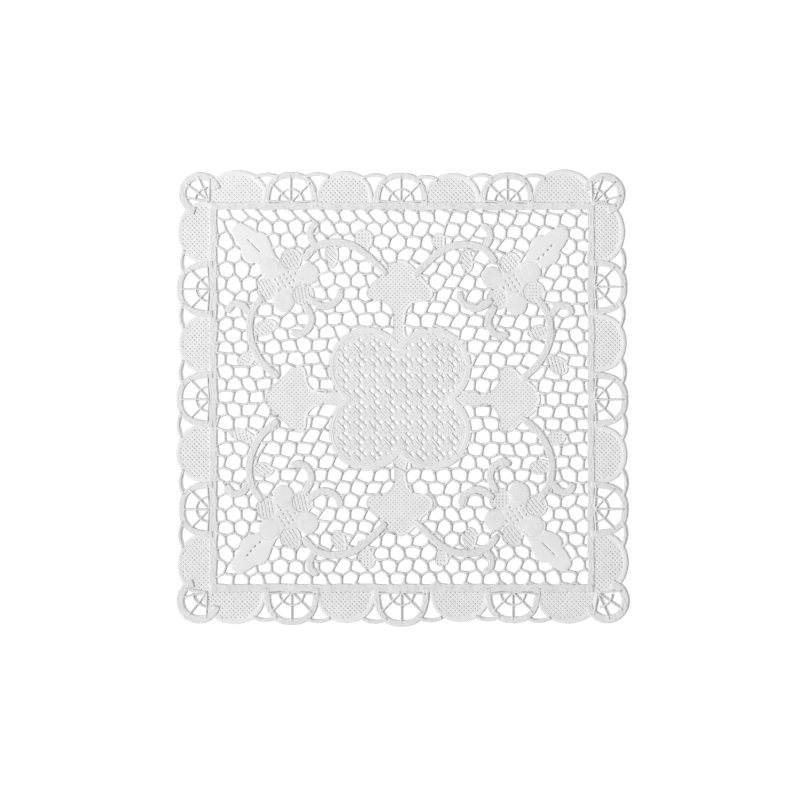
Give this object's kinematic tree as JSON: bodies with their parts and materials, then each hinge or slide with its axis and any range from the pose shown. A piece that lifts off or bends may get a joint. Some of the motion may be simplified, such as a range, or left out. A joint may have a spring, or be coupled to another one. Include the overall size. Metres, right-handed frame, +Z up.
{
  "type": "lace doily",
  "caption": "Flat square doily in cotton lace: a quatrefoil medallion, tulips, flowers and scrolls in a hexagonal net, with a scalloped edge of cloth scallops and half wheels.",
  "frame": {"origin": "middle of the doily on its underside", "axes": "+Z up through the cloth, out of its face; +X to the right and +Y to the top of the picture's view from above"},
  "size_m": [0.3026, 0.3028, 0.0014],
  "materials": {
    "cotton_lace": "white cotton thread, matt"
  },
  "bodies": {
    "root": {"doily": "cotton_lace"}
  },
  "joints": []
}
